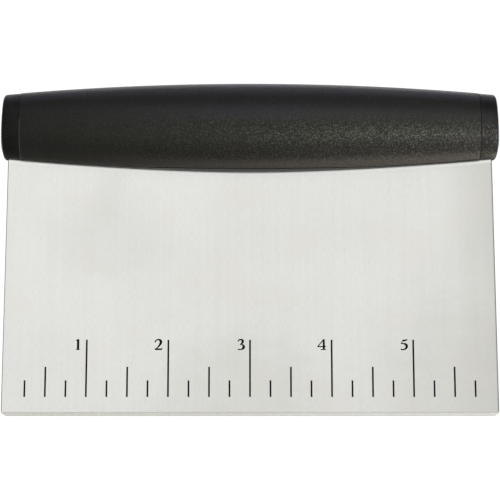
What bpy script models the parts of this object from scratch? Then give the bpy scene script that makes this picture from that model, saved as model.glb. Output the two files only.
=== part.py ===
"""A dough cutter: a steel sheet with a ground lower edge, held in a barrel handle.

Units are metres and +Z is up. The cutter stands upright on its cutting edge with its front
towards -Y and its length along X. The origin is the middle of the cutting edge.

The steel sheet runs up into the handle between two ribbed core halves, which three pins hold
together through holes in the sheet. A soft grip sleeve covers the core and leaves a lens-shaped
opening below, where the keel of the core shows. A cap closes each end: its prongs plug into the
core, and its slot takes the sheet's upper corner.
"""

import math

import bmesh
import bpy

MM = 0.001
DEG = math.pi / 180

# Fit between neighbours that touch on the real object
SEAT_GAP = 0.3 * MM

# Steel sheet
BLADE_WIDTH = 154.0 * MM
BLADE_THICKNESS = 0.9 * MM
BLADE_CORNER_RADIUS = 1.8 * MM
BEVEL_HEIGHT = 1.0 * MM
EDGE_LAND = 0.4 * MM
TANG_DEPTH = 15.0 * MM
TANG_CORNER_RADIUS = 3.0 * MM

# Handle, measured at its middle and at the seams of its caps
UNDERSIDE_HEIGHT = 77.5 * MM
HANDLE_HEIGHT = 29.0 * MM
HANDLE_THICKNESS = 22.0 * MM
END_THICKNESS = 17.4 * MM
CROWN_DROP = 3.05 * MM
UNDERSIDE_RISE = 3.8 * MM
HANDLE_OVERHANG = 2.3 * MM
CAP_LENGTH = 6.35 * MM

# Shape of the bows and of the oval section: 2 is a parabola and an ellipse
CROWN_BOW = 2.0
UNDERSIDE_BOW = 1.65
THICKNESS_BOW = 2.0
CROWN_FULLNESS = 2.1
UNDERSIDE_FULLNESS = 2.25
WIDEST_SHARE = 0.46

# Soft grip and the keel that shows in its opening
GRIP_WALL = 2.2 * MM
KEEL_WALL_MIDDLE = 2.3 * MM
KEEL_WALL_END = 0.6 * MM
KEEL_TAPER_REACH = 56.0 * MM

# Ribbed core
CORE_WALL = 2.0 * MM
RIB_THICKNESS = 1.8 * MM
RIBS_PER_BAY = 1
PIN_BLOCK_LENGTH = 9.0 * MM
SOCKET_WALL = 1.4 * MM

# Pins through the sheet
PIN_RADIUS = 2.0 * MM
PIN_CHAMFER = 0.4 * MM
PIN_COVER = 1.5 * MM
PIN_SEAM_DISTANCE = 23.0 * MM
TANG_RIM = 2.5 * MM

# End caps
CAP_STEP = 0.12 * MM
CAP_EDGE_RADIUS = 1.0 * MM
CAP_DOME = 0.9 * MM
CAP_CREST_SHARE = 0.72
PRONG_LENGTH = 6.0 * MM
PRONG_HEIGHT = 5.6 * MM
PRONG_NOSE = 0.5 * MM
PRONG_ROOT = 1.0 * MM

# Facets
STATIONS = 28
GRIP_STEPS = 36
CORE_STEPS = 18
CAP_STEPS = 44
EDGE_STEPS = 4
DOME_RINGS = 5
CORNER_STEPS = 6
PIN_SIDES = 24
POCKET_STEPS = 20
POCKET_STATIONS = 3
CUTTER_OVERRUN = 2.0 * MM

# Worked out from the sizes above
BLADE_HALF = BLADE_WIDTH / 2
SHEET_HALF = BLADE_THICKNESS / 2
SHEET_CLEARANCE = SHEET_HALF + SEAT_GAP
TANG_TOP = UNDERSIDE_HEIGHT + TANG_DEPTH
HANDLE_HALF = BLADE_HALF + HANDLE_OVERHANG
SEAM_X = HANDLE_HALF - CAP_LENGTH
GRIP_HALF = SEAM_X - SEAT_GAP / 2
CAP_FACE_X = SEAM_X + SEAT_GAP / 2
PARTING_Y = SEAT_GAP / 2
CORE_INSET = GRIP_WALL + SEAT_GAP
PIN_X = SEAM_X - PIN_SEAM_DISTANCE
PIN_Z = TANG_TOP - TANG_RIM - SEAT_GAP - PIN_RADIUS
PIN_HOLE_RADIUS = PIN_RADIUS + SEAT_GAP


def bow_share(x, power):
    """How far the handle has bent away at x: 0 in its middle and 1 at a cap's seam."""
    return (abs(x) / SEAM_X) ** power


def crown_height(x):
    """Height of the handle's top line at x."""
    return UNDERSIDE_HEIGHT + HANDLE_HEIGHT - CROWN_DROP * bow_share(x, CROWN_BOW)


def underside_height(x):
    """Height of the handle's lowest line at x."""
    return UNDERSIDE_HEIGHT + UNDERSIDE_RISE * bow_share(x, UNDERSIDE_BOW)


def widest_height(x):
    """Height at which the handle's section is widest at x."""
    return crown_height(x) - WIDEST_SHARE * (crown_height(x) - underside_height(x))


def half_thickness(x):
    """Half of the handle's thickness at x."""
    taper = (HANDLE_THICKNESS - END_THICKNESS) / 2
    return HANDLE_THICKNESS / 2 - taper * bow_share(x, THICKNESS_BOW)


def section_point(x, inset, angle):
    """Point (y, z) of the handle's oval section at x, moved in by inset.

    The angle runs from 0 at the rear side over a quarter turn at the crown.
    """
    widest = widest_height(x)
    if math.sin(angle) >= 0:
        reach, power = crown_height(x) - inset - widest, CROWN_FULLNESS
    else:
        reach, power = widest - underside_height(x) - inset, UNDERSIDE_FULLNESS
    across = math.copysign(abs(math.cos(angle)) ** (2 / power), math.cos(angle))
    up = math.copysign(abs(math.sin(angle)) ** (2 / power), math.sin(angle))
    return across * (half_thickness(x) - inset), widest + up * reach


def angle_at(x, inset, y, power):
    """Angle between the section's widest point and the point that lies y off the middle."""
    return math.acos((y / (half_thickness(x) - inset)) ** (power / 2))


def outer_underside(x, y):
    """Height of the handle's outer surface below its widest line, y off the middle."""
    return section_point(x, 0.0, -angle_at(x, 0.0, y, UNDERSIDE_FULLNESS))[1]


def core_half_width(x, z):
    """Half width of the core at x, at a height z below its widest line."""
    reach = widest_height(x) - underside_height(x) - CORE_INSET
    share = 1 - ((widest_height(x) - z) / reach) ** UNDERSIDE_FULLNESS
    return share ** (1 / UNDERSIDE_FULLNESS) * (half_thickness(x) - CORE_INSET)


def keel_half_width(x):
    """Half width of the keel at x: a lens that is fullest in the middle of the handle."""
    swell = 0.0
    if abs(x) < KEEL_TAPER_REACH:
        swell = math.cos(math.pi / 2 * x / KEEL_TAPER_REACH) ** 2
    wall = KEEL_WALL_END + (KEEL_WALL_MIDDLE - KEEL_WALL_END) * swell
    return SHEET_CLEARANCE + wall


def spread(low, high, steps):
    """steps + 1 evenly spread values from low to high."""
    return [low + (high - low) * i / steps for i in range(steps + 1)]


def make_object(name, bm, material, cutter=False):
    """Closes a bmesh into a named object, with its faces pointing out."""
    bmesh.ops.recalc_face_normals(bm, faces=bm.faces)
    mesh = bpy.data.meshes.new(name)
    bm.to_mesh(mesh)
    bm.free()
    mesh.shade_smooth()
    mesh.set_sharp_from_angle(angle=30 * DEG)
    obj = bpy.data.objects.new(name, mesh)
    bpy.context.scene.collection.objects.link(obj)
    if material:
        mesh.materials.append(material)
    if cutter:
        obj.hide_render = True
        obj.display_type = "WIRE"
    return obj


def loft(bm, rings, split_ends=False):
    """Skins closed rings of points into one body.

    A ring whose second half mirrors its first, such as that of a wall, has split_ends set: its
    ends are then closed by a strip of faces across the wall.
    """
    rows = [[bm.verts.new(point) for point in ring] for ring in rings]
    count = len(rows[0])
    for near, far in zip(rows, rows[1:]):
        for i in range(count):
            j = (i + 1) % count
            bm.faces.new((near[i], near[j], far[j], far[i]))
    for row in (rows[0], rows[-1]):
        if split_ends:
            for i in range(count // 2 - 1):
                bm.faces.new((row[i], row[i + 1], row[count - 2 - i], row[count - 1 - i]))
        else:
            bm.faces.new(row)


def cut(obj, operand, operation="DIFFERENCE"):
    """Adds a Boolean of obj with operand."""
    modifier = obj.modifiers.new(operand.name, "BOOLEAN")
    modifier.operation = operation
    modifier.solver = "EXACT"
    modifier.object = operand


def make_material(name, colour, roughness, metallic=0.0):
    """A Principled material of one colour."""
    material = bpy.data.materials.new(name)
    material.use_nodes = True
    shader = material.node_tree.nodes["Principled BSDF"]
    shader.inputs["Base Color"].default_value = (*colour, 1.0)
    shader.inputs["Roughness"].default_value = roughness
    shader.inputs["Metallic"].default_value = metallic
    material.diffuse_color = (*colour, 1.0)
    return material


def corner_arc(centre_x, centre_z, radius, start, end):
    """Points of a rounded corner of the sheet's outline, from one angle to another."""
    return [
        (centre_x + radius * math.cos(a), centre_z + radius * math.sin(a))
        for a in spread(start, end, CORNER_STEPS)
    ]


def blade_outline():
    """The sheet's outline in x and z, from its lower right corner round to its lower left one."""
    low, high = BLADE_CORNER_RADIUS, TANG_CORNER_RADIUS
    right = corner_arc(BLADE_HALF - low, low, low, -90 * DEG, 0.0)
    right += corner_arc(BLADE_HALF - high, TANG_TOP - high, high, 0.0, 90 * DEG)
    return right + [(-x, z) for x, z in reversed(right)]


def build_blade(material, pin_holes):
    """The sheet: one rounded outline with its lower edge ground on both sides to a thin land."""
    outline = blade_outline()
    ground = [(x, max(z, BEVEL_HEIGHT)) for x, z in outline]
    layers = (
        (-SHEET_HALF, ground),
        (-EDGE_LAND / 2, outline),
        (EDGE_LAND / 2, outline),
        (SHEET_HALF, ground),
    )
    bm = bmesh.new()
    loft(bm, [[(x, y, z) for x, z in points] for y, points in layers])
    blade = make_object("blade", bm, material)
    cut(blade, pin_holes)
    return blade


def grip_ring(x):
    """One ring of the grip's wall: over the outside from lip to lip, and back on the inside."""
    opening = keel_half_width(x) + SEAT_GAP
    ring = []
    for inset in (0.0, GRIP_WALL):
        lip = angle_at(x, inset, opening, UNDERSIDE_FULLNESS)
        side = [section_point(x, inset, a) for a in spread(-lip, math.pi + lip, GRIP_STEPS)]
        ring += side if inset == 0.0 else side[::-1]
    return [(x, y, z) for y, z in ring]


def build_grip(material):
    """The soft sleeve between the caps, open below for the keel."""
    bm = bmesh.new()
    rings = [grip_ring(x) for x in spread(-GRIP_HALF, GRIP_HALF, STATIONS)]
    loft(bm, rings, split_ends=True)
    return make_object("soft_grip", bm, material)


def core_ring(x, side):
    """One ring of a core half: its outer curve, its keel and the step that takes the sheet."""
    keel = keel_half_width(x)
    start = angle_at(x, CORE_INSET, PARTING_Y, CROWN_FULLNESS)
    shoulder = -angle_at(x, CORE_INSET, keel, UNDERSIDE_FULLNESS)
    ring = [section_point(x, CORE_INSET, a) for a in spread(start, shoulder, CORE_STEPS)]
    ring += [(y, outer_underside(x, y)) for y in spread(keel, SHEET_CLEARANCE, 2)]
    ring += [(SHEET_CLEARANCE, TANG_TOP + SEAT_GAP), (PARTING_Y, TANG_TOP + SEAT_GAP)]
    return [(x, side * y, z) for y, z in ring]


def build_core_half(name, side, material, cutters):
    """A rigid half of the core, hollowed between its ribs and bored for the pins."""
    bm = bmesh.new()
    loft(bm, [core_ring(x, side) for x in spread(-GRIP_HALF, GRIP_HALF, STATIONS)])
    half = make_object(name, bm, material)
    for cutter in cutters:
        cut(half, cutter)
    return half


def pocket_spans():
    """The stretches along X between the core's solid blocks, shared out by its ribs."""
    block = PIN_BLOCK_LENGTH / 2
    end_block = PRONG_LENGTH + SEAT_GAP + CORE_WALL
    bays = (
        (block, PIN_X - block, RIBS_PER_BAY),
        (PIN_X + block, GRIP_HALF - end_block, 0),
    )
    spans = []
    for low, high, ribs in bays:
        length = (high - low - ribs * RIB_THICKNESS) / (ribs + 1)
        for i in range(ribs + 1):
            start = low + i * (length + RIB_THICKNESS)
            spans.append((start, start + length))
    return spans + [(-high, -low) for low, high in spans]


def build_pocket_cutter():
    """The core's pockets: ovals that leave a wall outside and ribs between them."""
    bm = bmesh.new()
    inset = CORE_INSET + CORE_WALL
    for low, high in pocket_spans():
        rings = []
        for x in spread(low, high, POCKET_STATIONS):
            turn = spread(0.0, math.tau, POCKET_STEPS)[:-1]
            rings.append([(x, *section_point(x, inset, a)) for a in turn])
        loft(bm, rings)
    return make_object("core_pockets", bm, None, cutter=True)


def disc(x, y, radius):
    """A ring of points about a pin's axis, y off the middle."""
    return [
        (x + radius * math.cos(a), y, PIN_Z + radius * math.sin(a))
        for a in spread(0.0, math.tau, PIN_SIDES)[:-1]
    ]


def pin_reach():
    """How far a pin reaches from the middle, with cover left at the core's thinnest block."""
    return core_half_width(PIN_X, PIN_Z - PIN_RADIUS) - PIN_COVER


def build_pin_cutter():
    """The pins' holes, through the sheet and blind in both core halves."""
    depth = pin_reach() + SEAT_GAP
    bm = bmesh.new()
    for x in (-PIN_X, 0.0, PIN_X):
        loft(bm, [disc(x, y, PIN_HOLE_RADIUS) for y in (-depth, depth)])
    return make_object("pin_holes", bm, None, cutter=True)


def build_pin(name, x, material):
    """A steel pin with chamfered ends."""
    reach = pin_reach()
    layers = (
        (-reach, PIN_RADIUS - PIN_CHAMFER),
        (PIN_CHAMFER - reach, PIN_RADIUS),
        (reach - PIN_CHAMFER, PIN_RADIUS),
        (reach, PIN_RADIUS - PIN_CHAMFER),
    )
    bm = bmesh.new()
    loft(bm, [disc(0.0, y, radius) for y, radius in layers])
    pin = make_object(name, bm, material)
    pin.location.x = x
    return pin


def prong_faces():
    """The inner and outer faces of a prong, as distances from the middle."""
    inner = SHEET_CLEARANCE + SOCKET_WALL + SEAT_GAP
    outer = half_thickness(SEAM_X) - CORE_INSET - SOCKET_WALL - SEAT_GAP
    return inner, outer


def prong_ring(x, side, grow):
    """A rectangle across a prong at x, grown by grow on each side."""
    inner, outer = prong_faces()
    middle = widest_height(SEAM_X)
    half = PRONG_HEIGHT / 2 + grow
    return [
        (x, side * (inner - grow), middle - half),
        (x, side * (outer + grow), middle - half),
        (x, side * (outer + grow), middle + half),
        (x, side * (inner - grow), middle + half),
    ]


def build_socket_cutter():
    """The sockets for the caps' prongs, one in each end of each core half."""
    bm = bmesh.new()
    bottom = CAP_FACE_X - PRONG_LENGTH - SEAT_GAP
    for end in (-1, 1):
        for side in (-1, 1):
            mouth = end * (GRIP_HALF + CUTTER_OVERRUN)
            loft(bm, [prong_ring(x, side, SEAT_GAP) for x in (end * bottom, mouth)])
    return make_object("prong_sockets", bm, None, cutter=True)


def build_prongs(name, end):
    """The two prongs of a cap, tapered at the nose and rooted in the cap."""
    tip = CAP_FACE_X - PRONG_LENGTH
    layers = (
        (tip, -PRONG_NOSE),
        (tip + PRONG_NOSE, 0.0),
        (CAP_FACE_X + PRONG_ROOT, 0.0),
    )
    bm = bmesh.new()
    for side in (-1, 1):
        loft(bm, [prong_ring(end * x, side, grow) for x, grow in layers])
    return make_object(name, bm, None, cutter=True)


def build_sheet_cutter():
    """The room that the sheet's upper corners take in the caps."""
    reach = BLADE_HALF + SEAT_GAP
    top = TANG_TOP + SEAT_GAP
    bottom = UNDERSIDE_HEIGHT - CUTTER_OVERRUN
    bm = bmesh.new()
    loft(
        bm,
        [
            [(-reach, y, bottom), (reach, y, bottom), (reach, y, top), (-reach, y, top)]
            for y in (-SHEET_CLEARANCE, SHEET_CLEARANCE)
        ],
    )
    return make_object("sheet_room", bm, None, cutter=True)


def cap_ring(x, inset, scale=1.0):
    """A ring of the cap's oval section at x, drawn in by scale towards the dome's low crest."""
    crest = crown_height(x) - CAP_CREST_SHARE * (crown_height(x) - underside_height(x))
    turn = spread(0.0, math.tau, CAP_STEPS)[:-1]
    points = [section_point(x, inset, a) for a in turn]
    return [(y * scale, crest + (z - crest) * scale) for y, z in points]


def cap_layers():
    """The cap's rings as (x, points): its side, its rounded edge and its domed end."""
    rim = HANDLE_HALF - CAP_DOME
    start = rim - CAP_EDGE_RADIUS
    layers = [(CAP_FACE_X, cap_ring(CAP_FACE_X, CAP_STEP))]
    for a in spread(0.0, 90 * DEG, EDGE_STEPS):
        x = start + CAP_EDGE_RADIUS * math.sin(a)
        inset = CAP_STEP + CAP_EDGE_RADIUS * (1 - math.cos(a))
        layers.append((x, cap_ring(x, inset)))
    for scale in spread(1.0, 0.0, DOME_RINGS)[1:-1]:
        x = rim + CAP_DOME * (1 - scale**2)
        layers.append((x, cap_ring(rim, CAP_STEP + CAP_EDGE_RADIUS, scale)))
    return layers


def build_cap(name, end, material, sheet_room):
    """An end cap with its prongs and the slot for the sheet's corner."""
    bm = bmesh.new()
    loft(bm, [[(end * x, y, z) for y, z in ring] for x, ring in cap_layers()])
    cap = make_object(name, bm, material)
    prongs = build_prongs(name + "_prongs", end)
    cut(cap, prongs, "UNION")
    cut(cap, sheet_room)
    return cap


def main():
    """Models the cutter and parents its pieces to one empty."""
    for obj in list(bpy.data.objects):
        bpy.data.objects.remove(obj)
    steel = make_material("brushed_steel", (0.74, 0.73, 0.71), 0.32, 1.0)
    pin_steel = make_material("pin_steel", (0.60, 0.60, 0.60), 0.35, 1.0)
    rubber = make_material("soft_rubber", (0.018, 0.019, 0.018), 0.62)
    core_plastic = make_material("core_plastic", (0.024, 0.025, 0.025), 0.45)
    cap_plastic = make_material("cap_plastic", (0.014, 0.014, 0.015), 0.42)

    pin_holes = build_pin_cutter()
    sheet_room = build_sheet_cutter()
    core_cutters = (build_pocket_cutter(), pin_holes, build_socket_cutter())
    build_blade(steel, pin_holes)
    build_core_half("core_front", -1, core_plastic, core_cutters)
    build_core_half("core_rear", 1, core_plastic, core_cutters)
    build_grip(rubber)
    for name, x in (("left", -PIN_X), ("centre", 0.0), ("right", PIN_X)):
        build_pin("tang_pin_" + name, x, pin_steel)
    build_cap("end_cap_left", -1, cap_plastic, sheet_room)
    build_cap("end_cap_right", 1, cap_plastic, sheet_room)

    cutter = bpy.data.objects.new("dough_cutter", None)
    pieces = list(bpy.data.objects)
    bpy.context.scene.collection.objects.link(cutter)
    for piece in pieces:
        if piece is not cutter:
            piece.parent = cutter


main()
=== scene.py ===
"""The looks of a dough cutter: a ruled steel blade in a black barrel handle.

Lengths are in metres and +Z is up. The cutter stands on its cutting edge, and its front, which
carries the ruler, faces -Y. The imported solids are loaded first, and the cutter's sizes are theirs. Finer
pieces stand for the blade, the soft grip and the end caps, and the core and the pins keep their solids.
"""

import logging
import math
from collections.abc import Callable, Sequence
from dataclasses import dataclass
from enum import Enum

import bmesh
import bpy
import numpy as np
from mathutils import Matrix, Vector


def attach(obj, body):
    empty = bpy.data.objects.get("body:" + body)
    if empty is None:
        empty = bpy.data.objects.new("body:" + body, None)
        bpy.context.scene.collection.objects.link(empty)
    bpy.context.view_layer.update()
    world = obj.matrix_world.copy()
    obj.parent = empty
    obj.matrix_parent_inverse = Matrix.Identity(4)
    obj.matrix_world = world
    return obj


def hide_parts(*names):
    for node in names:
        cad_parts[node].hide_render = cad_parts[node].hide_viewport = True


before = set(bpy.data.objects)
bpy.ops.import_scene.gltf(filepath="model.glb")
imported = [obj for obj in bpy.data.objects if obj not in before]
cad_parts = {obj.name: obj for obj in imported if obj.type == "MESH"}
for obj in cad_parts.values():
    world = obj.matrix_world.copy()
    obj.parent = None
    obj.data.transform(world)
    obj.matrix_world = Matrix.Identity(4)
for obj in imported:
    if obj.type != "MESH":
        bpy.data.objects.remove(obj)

MM = 0.001
BODY = "root"
SHARP_ANGLE = math.radians(40.0)
CUTTER_REACH = 5.0 * MM

Array = np.ndarray
Triple = tuple[float, float, float]
Colour = Triple

log = logging.getLogger("dough_cutter")


def operation(name: str, turned: bool = False) -> "Callable[..., Shade]":
    """Makes the method of an arithmetic operation on shader sockets.

    Args:
        name: The Math node's operation.
        turned: Whether the terms change places, as in an operator's reflected form.

    Returns:
        The method, which adds the node.
    """

    def method(*terms: "Term") -> "Shade":
        """The result of the Math node, which joins the first term's graph."""
        placed = terms[::-1] if turned else terms
        return terms[0].graph.node("ShaderNodeMath", {"operation": name}, dict(enumerate(placed)))

    return method


class Shade:
    """A shader socket that takes part in arithmetic: each operation adds its Math node."""

    __add__, __radd__ = operation("ADD"), operation("ADD", turned=True)
    __sub__, __rsub__ = operation("SUBTRACT"), operation("SUBTRACT", turned=True)
    __mul__, __rmul__ = operation("MULTIPLY"), operation("MULTIPLY", turned=True)
    __truediv__, __pow__ = operation("DIVIDE"), operation("POWER")
    __abs__, largest = operation("ABSOLUTE"), operation("MAXIMUM")

    def __init__(self, graph: "Graph", socket: bpy.types.NodeSocket | None) -> None:
        """Keeps the socket and the graph that new nodes are added to."""
        self.graph = graph
        self.socket = socket

    def ease(self, start: float, end: float) -> "Shade":
        """A soft step: 0 at the start value and 1 at the end, which may be the smaller of the two."""
        values = {"Value": self, "From Min": start, "From Max": end}
        return self.graph.node("ShaderNodeMapRange", {"interpolation_type": "SMOOTHSTEP"}, values)


Term = Shade | float | int
Value = Shade | float | int | tuple[float, ...]


@dataclass(frozen=True)
class Pattern:
    """Smooth noise: its blotches' size along each axis in millimetres, its finer layers, its seed."""

    lengths: Triple
    detail: float = 2.0
    seed: float = 0.0


class Graph:
    """The nodes of one material or world."""

    def __init__(self, tree: bpy.types.NodeTree) -> None:
        """Empties the tree and keeps it to build in."""
        self.tree = tree
        tree.nodes.clear()

    def node(
        self,
        kind: str,
        settings: dict[str, object] | None = None,
        values: dict[str | int, Value] | None = None,
        output: str | int = 0,
    ) -> Shade:
        """Adds any node.

        Args:
            kind: The node's type.
            settings: Its settings, which are set first.
            values: What its input sockets get, by name or by number.
            output: The name or number of the output to hand on.

        Returns:
            The output, which is empty for a node that has none.
        """
        made = self.tree.nodes.new(kind)
        for name, setting in (settings or {}).items():
            setattr(made, name, setting)
        for key, value in (values or {}).items():
            socket = made.inputs[key]
            if isinstance(value, Shade):
                self.tree.links.new(value.socket, socket)
            elif socket.type == "RGBA" and len(value) == 3:
                socket.default_value = (*value, 1.0)
            else:
                socket.default_value = value
        return Shade(self, made.outputs[output] if len(made.outputs) else None)

    def place(self) -> Shade:
        """The point on the piece, in millimetres."""
        point = self.node("ShaderNodeTexCoord", output="Object")
        return self.node("ShaderNodeVectorMath", {"operation": "SCALE"}, {0: point, "Scale": 1 / MM})

    def split(self, vector: Shade) -> tuple[Shade, Shade, Shade]:
        """The x, y and z of a vector."""
        return tuple(self.node("ShaderNodeSeparateXYZ", None, {0: vector}, axis) for axis in "XYZ")

    def noise(self, place: Shade, pattern: Pattern) -> Shade:
        """Smooth noise, over a point that is counted in the pattern's own length along each axis.

        Args:
            place: The point in millimetres.
            pattern: The noise.

        Returns:
            A value around 0.5.
        """
        point = self.node("ShaderNodeVectorMath", {"operation": "DIVIDE"}, {0: place, 1: pattern.lengths})
        values = {"Vector": point, "W": pattern.seed, "Scale": 1.0, "Detail": pattern.detail}
        return self.node("ShaderNodeTexNoise", {"noise_dimensions": "4D"}, values)

    def cells(self, place: Shade, size: float, output: str = "Distance") -> Shade:
        """Cells of a size in millimetres: the Distance to a cell's middle, or a Color of its own."""
        return self.node("ShaderNodeTexVoronoi", None, {"Vector": place, "Scale": 1 / size}, output)

    def blend(self, share: Value, first: Value, second: Value) -> Shade:
        """A mix of two colours, of which the share is the second one's."""
        return self.node("ShaderNodeMix", {"data_type": "RGBA"}, {0: share, 6: first, 7: second}, 2)

    def bump(self, height: Shade, depth: float, strength: float = 1.0) -> Shade:
        """A surface's normal over a relief from 0 to 1 that is so many metres deep."""
        values = {"Strength": strength, "Distance": depth, "Height": height}
        return self.node("ShaderNodeBump", None, values)

    def shader(self, values: dict[str | int, Value]) -> Shade:
        """A Principled shader with the values of its sockets."""
        return self.node("ShaderNodeBsdfPrincipled", None, values)


class Finish:
    """What the finishes share: each one is a material made of nodes."""

    name: str = "finish"

    def dress(self, graph: Graph) -> Shade:
        """Builds the finish's shader."""
        raise NotImplementedError

    def material(self) -> bpy.types.Material:
        """Makes the material.

        Returns:
            The material, with its nodes.
        """
        material = bpy.data.materials.new(self.name)
        material.use_nodes = True
        graph = Graph(material.node_tree)
        graph.node("ShaderNodeOutputMaterial", None, {"Surface": self.dress(graph)})
        return material


@dataclass(frozen=True)
class BrushedSteel(Finish):
    """Stainless sheet brushed along its height, with a ground band along the cutting edge.

    A place of painted shade has its middle across and up, its reach across and up, and its depth.
    """

    name: str = "brushed_steel"
    light: Colour = (0.865, 0.865, 0.835)
    shade: Colour = (0.725, 0.725, 0.695)
    warm: Colour = (0.80, 0.76, 0.69)
    # Painted highlight: the paler colour painted on the sheet just below the handle.
    painted_highlight: Colour = (1.0, 1.0, 0.97)
    # Painted shade: the darker colour that the sheet is painted towards where it is shaded.
    dim: Colour = (0.56, 0.55, 0.50)
    # Painted shade along the sheet's side rims; the same colour also darkens the ground band's top line.
    rim: Colour = (0.20, 0.20, 0.19)
    ground_light: Colour = (1.0, 0.99, 0.95)
    ground_dark: Colour = (0.80, 0.79, 0.72)
    lines: Pattern = Pattern((0.28, 40.0, 14.0), 3.0)
    dashes: Pattern = Pattern((0.28, 40.0, 1.9), 2.0, 17.0)
    streaks: Pattern = Pattern((1.6, 40.0, 70.0), 2.0, 3.0)
    clouds: Pattern = Pattern((30.0, 40.0, 26.0), 2.0, 7.0)
    haze: Pattern = Pattern((20.0, 40.0, 16.0), 3.0, 11.0)
    blotches: Pattern = Pattern((9.0, 40.0, 7.0), 3.0, 13.0)
    grind: Pattern = Pattern((0.34, 40.0, 2.4), 3.0, 5.0)
    line_contrast: float = 0.42
    dash_contrast: float = 1.1
    streak_contrast: float = 0.5
    cloud_contrast: float = 0.5
    haze_share: float = 0.3
    # Painted shade: the sheet is painted darker towards the right, most at its right rim and above.
    side_shade: float = 0.0009
    side_painted_shading: float = 0.26
    upper_side_painted_shading: float = 0.2
    shoulder_share: float = 0.25
    half_width_mm: float = 77.0
    ground_height_mm: float = 1.0
    ground_fade_mm: float = 0.08
    handle_mm: float = 77.5
    handle_rise_mm: float = 4.1
    handle_bow: float = 1.65
    roughness: float = 0.34
    roughness_swing: float = 0.12
    ground_roughening: float = 0.42
    ground_dulling: float = 0.85
    anisotropy: float = 0.7
    relief_depth: float = 0.003 * MM
    # Painted shade: soft places where the sheet's reflection is painted darker.
    painted_shading_places: tuple[tuple[float, float, float, float, float], ...] = (
        (-4.0, 4.0, 30.0, 24.0, 0.26),
        (-44.0, 56.0, 22.0, 16.0, 0.16),
        (-44.0, 71.0, 6.0, 12.0, 0.12),
        (-3.0, 38.0, 26.0, 30.0, 0.08),
        (66.0, 12.0, 26.0, 26.0, 0.30),
    )

    def dress(self, graph: Graph) -> Shade:
        """Fine upright lines and dashes over streaks, and a dull ground band whose top is a dark line.

        Args:
            graph: The material's graph.

        Returns:
            The shader.
        """
        place = graph.place()
        across, _, up = graph.split(place)
        lines = graph.noise(place, self.lines)
        grind = graph.noise(place, self.grind).ease(0.34, 0.66)
        top, fade = self.ground_height_mm, self.ground_fade_mm
        band = up.ease(top + fade, top - fade)
        shoulder = 1 - abs(up - top - 0.05).ease(0.03, 0.2)
        # Painted shade: the sheet is painted dark along its side rims, over a wider band at the right.
        rim = abs(across).ease(self.half_width_mm - 0.34, self.half_width_mm - 0.16)
        rim = rim.largest(across.ease(self.half_width_mm - 0.6, self.half_width_mm - 0.2) * 0.7)
        ground = graph.blend(grind * 0.4 + across * 0.005 + 0.5, self.ground_dark, self.ground_light)
        colour = graph.blend(band, self._sheet(graph, place, lines), ground)
        roughness = self.roughness + (lines - 0.5) * self.roughness_swing
        return graph.shader(
            {
                "Base Color": graph.blend((shoulder * self.shoulder_share).largest(rim), colour, self.rim),
                "Metallic": 1 - band * self.ground_dulling,
                "Roughness": roughness + band * self.ground_roughening,
                "Anisotropic": self.anisotropy,
                "Normal": graph.bump(lines * (1 - band) + grind * band * 2.5, self.relief_depth, 0.5),
            }
        )

    def _sheet(self, graph: Graph, place: Shade, lines: Shade) -> Shade:
        """The brushed sheet's colour: streaks, faint warm haze, painted shade, a painted highlight below the
        handle.

        Args:
            graph: The material's graph.
            place: The point in millimetres.
            lines: The noise of the brushed lines.

        Returns:
            The colour.
        """
        across, _, up = graph.split(place)
        dashes, streaks = graph.noise(place, self.dashes), graph.noise(place, self.streaks)
        tone = (lines - 0.5) * self.line_contrast + (dashes - 0.5) * self.dash_contrast
        tone = tone + (streaks - 0.5) * self.streak_contrast
        tone = tone + graph.noise(place, self.clouds) * self.cloud_contrast + 0.25
        # Painted shade: the tone is painted darker towards the right.
        steel = graph.blend(tone - across * self.side_shade, self.shade, self.light)
        haze = graph.noise(place, self.haze).ease(0.48, 0.72)
        steel = graph.blend(haze * self.haze_share, steel, self.warm)
        # Painted shade: towards the dim colour at the right rim and in the soft places.
        steel = graph.blend(self._painted_shade_mask(across, up, graph.noise(place, self.blotches)), steel, self.dim)
        # Painted highlight: just below the handle the sheet is painted paler, against the handle's shade and
        # dark reflection there.
        bend = (abs(across) / self.half_width_mm) ** self.handle_bow
        below = (self.handle_mm + self.handle_rise_mm * bend - up).ease(1.3, 0.0)
        return graph.blend(below, steel, self.painted_highlight)

    def _painted_shade_mask(self, across: Shade, up: Shade, blotches: Shade) -> Shade:
        """Painted shade on the sheet: darker towards its right rim, and in a few wide soft places.

        Args:
            across: The place along the sheet in millimetres.
            up: The height in millimetres.
            blotches: Noise around 0.5 that breaks up the outlines of the soft places.

        Returns:
            How much painted shade there is, from 0 to 1.
        """
        right = across.ease(58.0, 76.0)
        dimness = right * self.side_painted_shading + right * up.ease(30.0, 62.0) * self.upper_side_painted_shading
        for middle, height, reach, rise, depth in self.painted_shading_places:
            fade = ((across - middle) / reach) ** 2 + ((up - height) / rise) ** 2
            dimness = dimness + (fade + blotches * 1.4 - 0.7).ease(1.4, -0.2) * depth
        return dimness


@dataclass(frozen=True)
class EtchedMark(Finish):
    """The dark, dull oxide of marks etched into the steel."""

    name: str = "etched_mark"
    dark: Colour = (0.0020, 0.0018, 0.0015)
    worn: Colour = (0.014, 0.012, 0.010)
    wear: Pattern = Pattern((0.5, 0.5, 1.2), 3.0)
    roughness: float = 0.6
    roughness_swing: float = 0.15
    specular: float = 0.04

    def dress(self, graph: Graph) -> Shade:
        """A dark brown grey that is paler in places.

        Args:
            graph: The material's graph.

        Returns:
            The shader.
        """
        wear = graph.noise(graph.place(), self.wear).ease(0.4, 0.75)
        return graph.shader(
            {
                "Base Color": graph.blend(wear, self.dark, self.worn),
                "Metallic": 0.0,
                "Roughness": self.roughness + wear * self.roughness_swing,
                "Specular IOR Level": self.specular,
            }
        )


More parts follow.
